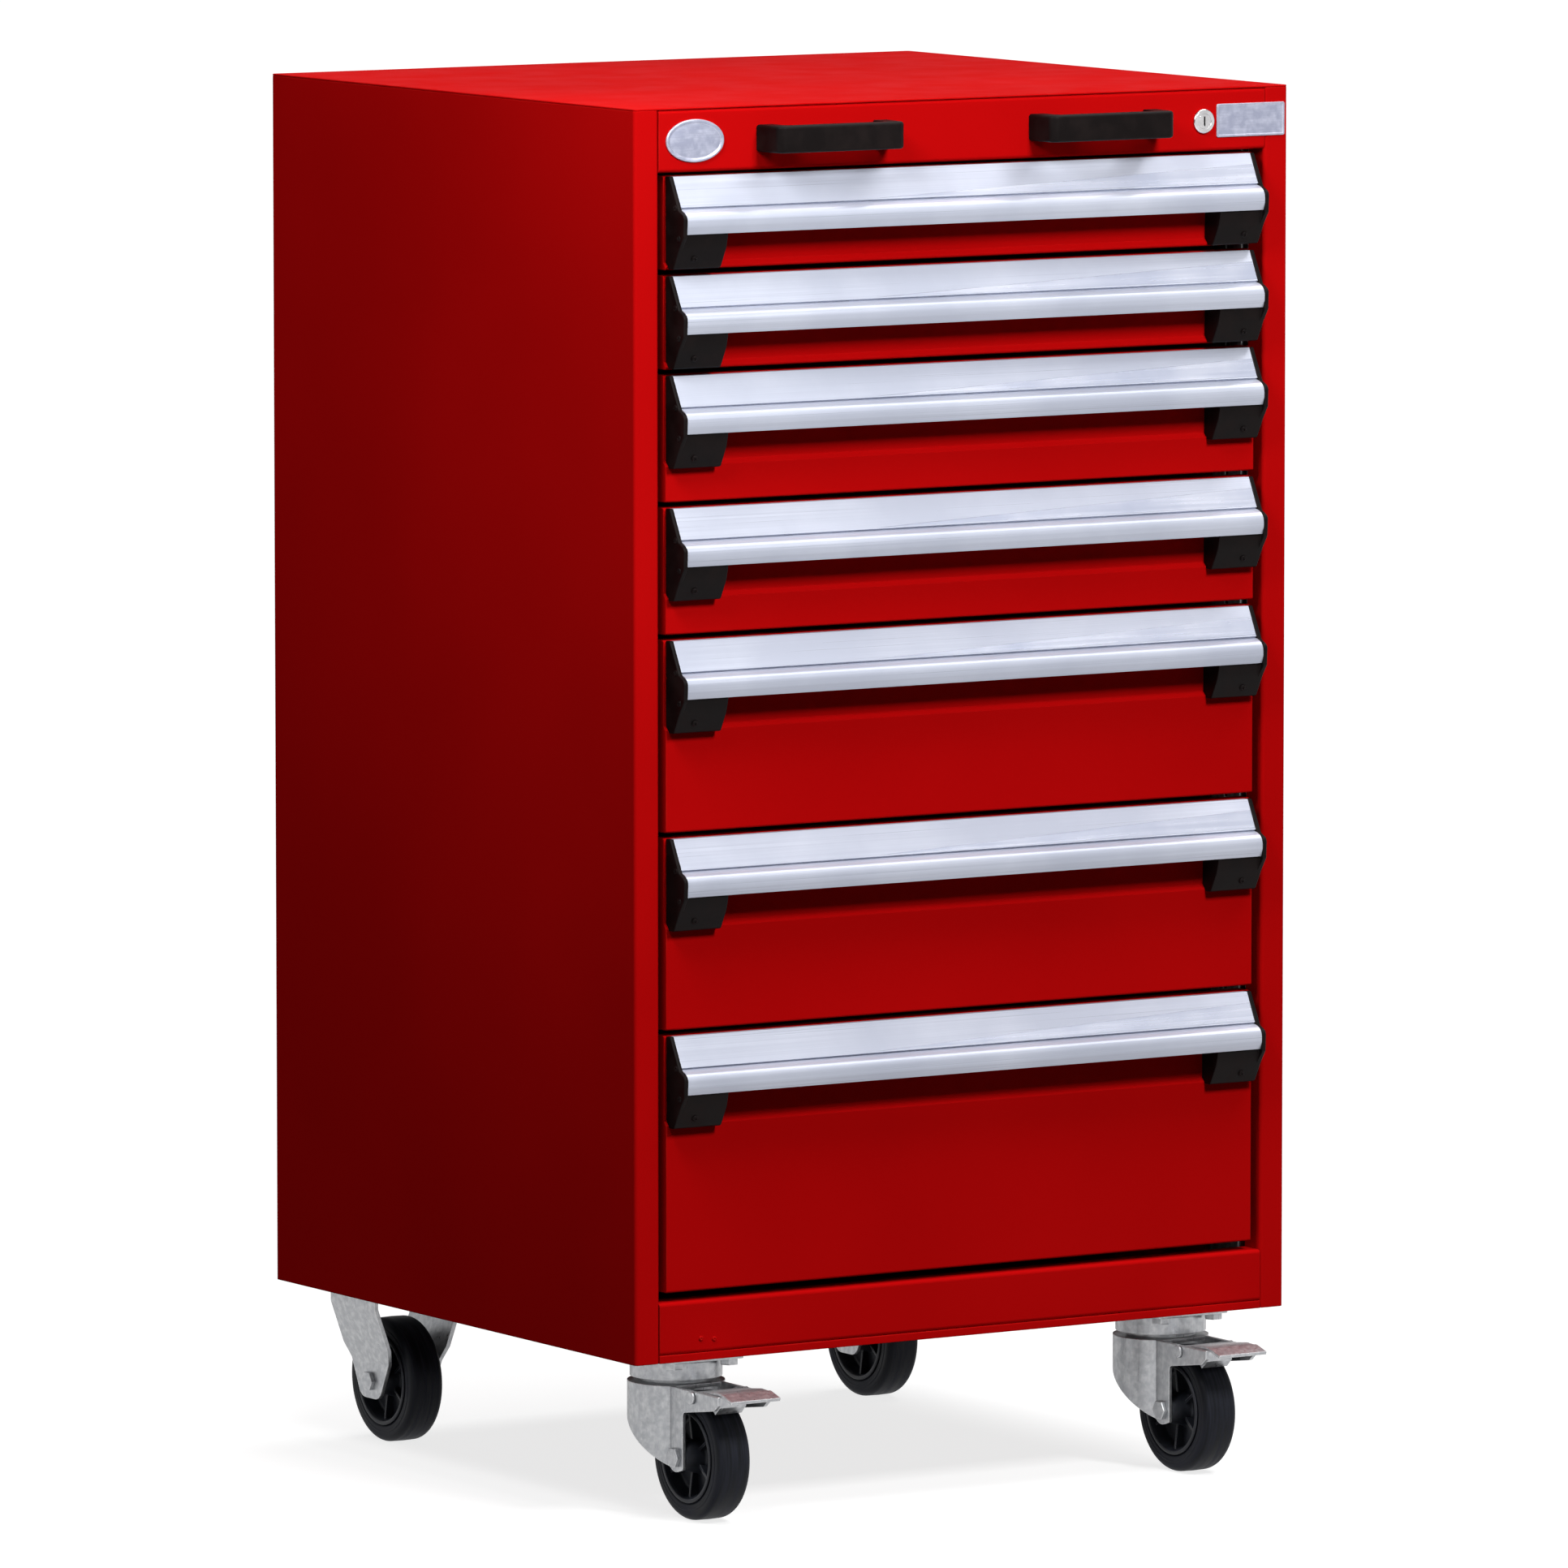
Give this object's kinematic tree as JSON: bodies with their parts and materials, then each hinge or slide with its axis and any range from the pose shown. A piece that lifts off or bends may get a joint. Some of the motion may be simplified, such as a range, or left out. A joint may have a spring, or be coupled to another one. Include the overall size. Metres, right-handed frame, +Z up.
{
  "type": "mobile drawer cabinet",
  "caption": "Tall steel cabinet of full-width drawers on casters, with aluminium grip handles, two pull handles on the fascia, and a lock that blocks every drawer",
  "frame": {"origin": "on the floor, at the middle of the bounding box in X and Y", "axes": "+X to the right as seen from the front, -Y out of the drawer fronts, +Z up"},
  "size_m": [0.6, 0.605, 1.0932],
  "materials": {
    "red_paint": "satin powder coat",
    "zinc_steel": "bright zinc plated",
    "anodised_aluminium": "satin anodised",
    "black_plastic": "fine grained",
    "chrome_lock": "polished",
    "hub_plastic": "moulded",
    "tyre_rubber": "smooth rubber"
  },
  "bodies": {
    "housing": {"side_panel_left": "red_paint", "side_panel_right": "red_paint", "back_panel": "red_paint", "top_panel": "red_paint", "base_pan": "red_paint", "top_rail": "red_paint", "bottom_rail": "red_paint", "slotted_uprights": "zinc_steel", "fixed_rails": "zinc_steel", "pull_handles": "black_plastic", "lock_body": "chrome_lock", "lock_nut": "zinc_steel", "caster_bolts": "zinc_steel", "swivel_plates": "zinc_steel", "rigid_brackets": "zinc_steel", "rear_axles": "zinc_steel"},
    "drawer_1": {"drawer_1_box": "red_paint", "drawer_1_handle": "anodised_aluminium", "drawer_1_caps": "black_plastic"},
    "drawer_2": {"drawer_2_box": "red_paint", "drawer_2_handle": "anodised_aluminium", "drawer_2_caps": "black_plastic"},
    "drawer_3": {"drawer_3_box": "red_paint", "drawer_3_handle": "anodised_aluminium", "drawer_3_caps": "black_plastic"},
    "drawer_4": {"drawer_4_box": "red_paint", "drawer_4_handle": "anodised_aluminium", "drawer_4_caps": "black_plastic"},
    "drawer_5": {"drawer_5_box": "red_paint", "drawer_5_handle": "anodised_aluminium", "drawer_5_caps": "black_plastic"},
    "drawer_6": {"drawer_6_box": "red_paint", "drawer_6_handle": "anodised_aluminium", "drawer_6_caps": "black_plastic"},
    "drawer_7": {"drawer_7_box": "red_paint", "drawer_7_handle": "anodised_aluminium", "drawer_7_caps": "black_plastic"},
    "slides_1": {"drawer_1_slides": "zinc_steel"},
    "slides_2": {"drawer_2_slides": "zinc_steel"},
    "slides_3": {"drawer_3_slides": "zinc_steel"},
    "slides_4": {"drawer_4_slides": "zinc_steel"},
    "slides_5": {"drawer_5_slides": "zinc_steel"},
    "slides_6": {"drawer_6_slides": "zinc_steel"},
    "slides_7": {"drawer_7_slides": "zinc_steel"},
    "lock_plug": {"lock_plug": "chrome_lock"},
    "lock_bar": {"lock_bar": "zinc_steel"},
    "swivel_left": {"fork_left": "zinc_steel", "front_axle_left": "zinc_steel"},
    "pedal_left": {"brake_pedal_left": "zinc_steel"},
    "front_wheel_left": {"front_hub_left": "hub_plastic", "front_tyre_left": "tyre_rubber"},
    "rear_wheel_left": {"rear_hub_left": "hub_plastic", "rear_tyre_left": "tyre_rubber"},
    "swivel_right": {"fork_right": "zinc_steel", "front_axle_right": "zinc_steel"},
    "pedal_right": {"brake_pedal_right": "zinc_steel"},
    "front_wheel_right": {"front_hub_right": "hub_plastic", "front_tyre_right": "tyre_rubber"},
    "rear_wheel_right": {"rear_hub_right": "hub_plastic", "rear_tyre_right": "tyre_rubber"}
  },
  "joints": [
    {"name": "drawer_1_slide", "type": "slide", "parent": "housing", "child": "drawer_1", "axis": [0, -1, 0], "range_m": [0, 0.46]},
    {"name": "drawer_2_slide", "type": "slide", "parent": "housing", "child": "drawer_2", "axis": [0, -1, 0], "range_m": [0, 0.46]},
    {"name": "drawer_3_slide", "type": "slide", "parent": "housing", "child": "drawer_3", "axis": [0, -1, 0], "range_m": [0, 0.46]},
    {"name": "drawer_4_slide", "type": "slide", "parent": "housing", "child": "drawer_4", "axis": [0, -1, 0], "range_m": [0, 0.46]},
    {"name": "drawer_5_slide", "type": "slide", "parent": "housing", "child": "drawer_5", "axis": [0, -1, 0], "range_m": [0, 0.46]},
    {"name": "drawer_6_slide", "type": "slide", "parent": "housing", "child": "drawer_6", "axis": [0, -1, 0], "range_m": [0, 0.46]},
    {"name": "drawer_7_slide", "type": "slide", "parent": "housing", "child": "drawer_7", "axis": [0, -1, 0], "range_m": [0, 0.46]},
    {"name": "slides_1_slide", "type": "slide", "parent": "housing", "child": "slides_1", "axis": [0, -1, 0], "range_m": [0, 0.23]},
    {"name": "slides_2_slide", "type": "slide", "parent": "housing", "child": "slides_2", "axis": [0, -1, 0], "range_m": [0, 0.23]},
    {"name": "slides_3_slide", "type": "slide", "parent": "housing", "child": "slides_3", "axis": [0, -1, 0], "range_m": [0, 0.23]},
    {"name": "slides_4_slide", "type": "slide", "parent": "housing", "child": "slides_4", "axis": [0, -1, 0], "range_m": [0, 0.23]},
    {"name": "slides_5_slide", "type": "slide", "parent": "housing", "child": "slides_5", "axis": [0, -1, 0], "range_m": [0, 0.23]},
    {"name": "slides_6_slide", "type": "slide", "parent": "housing", "child": "slides_6", "axis": [0, -1, 0], "range_m": [0, 0.23]},
    {"name": "slides_7_slide", "type": "slide", "parent": "housing", "child": "slides_7", "axis": [0, -1, 0], "range_m": [0, 0.23]},
    {"name": "lock_turn", "type": "hinge", "parent": "housing", "child": "lock_plug", "pos_m": [0.2204, -0.2475, 1.0672], "axis": [0, -1, 0], "range_deg": [0, 90]},
    {"name": "lock_bar_lift", "type": "slide", "parent": "housing", "child": "lock_bar", "axis": [0, 0, 1], "range_m": [0, 0.01]},
    {"name": "swivel_left_turn", "type": "hinge", "parent": "housing", "child": "swivel_left", "pos_m": [-0.2252, -0.1855, 0.128], "axis": [0, 0, 1], "continuous": true},
    {"name": "pedal_left_press", "type": "hinge", "parent": "swivel_left", "child": "pedal_left", "pos_m": [-0.2252, -0.2475, 0.0995], "axis": [1, 0, 0], "range_deg": [0, 7]},
    {"name": "front_wheel_left_spin", "type": "hinge", "parent": "swivel_left", "child": "front_wheel_left", "pos_m": [-0.2252, -0.2235, 0.05], "axis": [1, 0, 0], "continuous": true},
    {"name": "rear_wheel_left_spin", "type": "hinge", "parent": "housing", "child": "rear_wheel_left", "pos_m": [-0.2252, 0.2395, 0.05], "axis": [1, 0, 0], "continuous": true},
    {"name": "swivel_right_turn", "type": "hinge", "parent": "housing", "child": "swivel_right", "pos_m": [0.2252, -0.1855, 0.128], "axis": [0, 0, 1], "continuous": true},
    {"name": "pedal_right_press", "type": "hinge", "parent": "swivel_right", "child": "pedal_right", "pos_m": [0.2252, -0.2475, 0.0995], "axis": [1, 0, 0], "range_deg": [0, 7]},
    {"name": "front_wheel_right_spin", "type": "hinge", "parent": "swivel_right", "child": "front_wheel_right", "pos_m": [0.2252, -0.2235, 0.05], "axis": [1, 0, 0], "continuous": true},
    {"name": "rear_wheel_right_spin", "type": "hinge", "parent": "housing", "child": "rear_wheel_right", "pos_m": [0.2252, 0.2395, 0.05], "axis": [1, 0, 0], "continuous": true}
  ],
  "couplings": [
    {"joint": "slides_1_slide", "follows": "drawer_1_slide", "ratio": 0.5},
    {"joint": "slides_2_slide", "follows": "drawer_2_slide", "ratio": 0.5},
    {"joint": "slides_3_slide", "follows": "drawer_3_slide", "ratio": 0.5},
    {"joint": "slides_4_slide", "follows": "drawer_4_slide", "ratio": 0.5},
    {"joint": "slides_5_slide", "follows": "drawer_5_slide", "ratio": 0.5},
    {"joint": "slides_6_slide", "follows": "drawer_6_slide", "ratio": 0.5},
    {"joint": "slides_7_slide", "follows": "drawer_7_slide", "ratio": 0.5},
    {"joint": "lock_turn", "follows": "lock_bar_lift", "rad_per_m": 157.07}
  ]
}
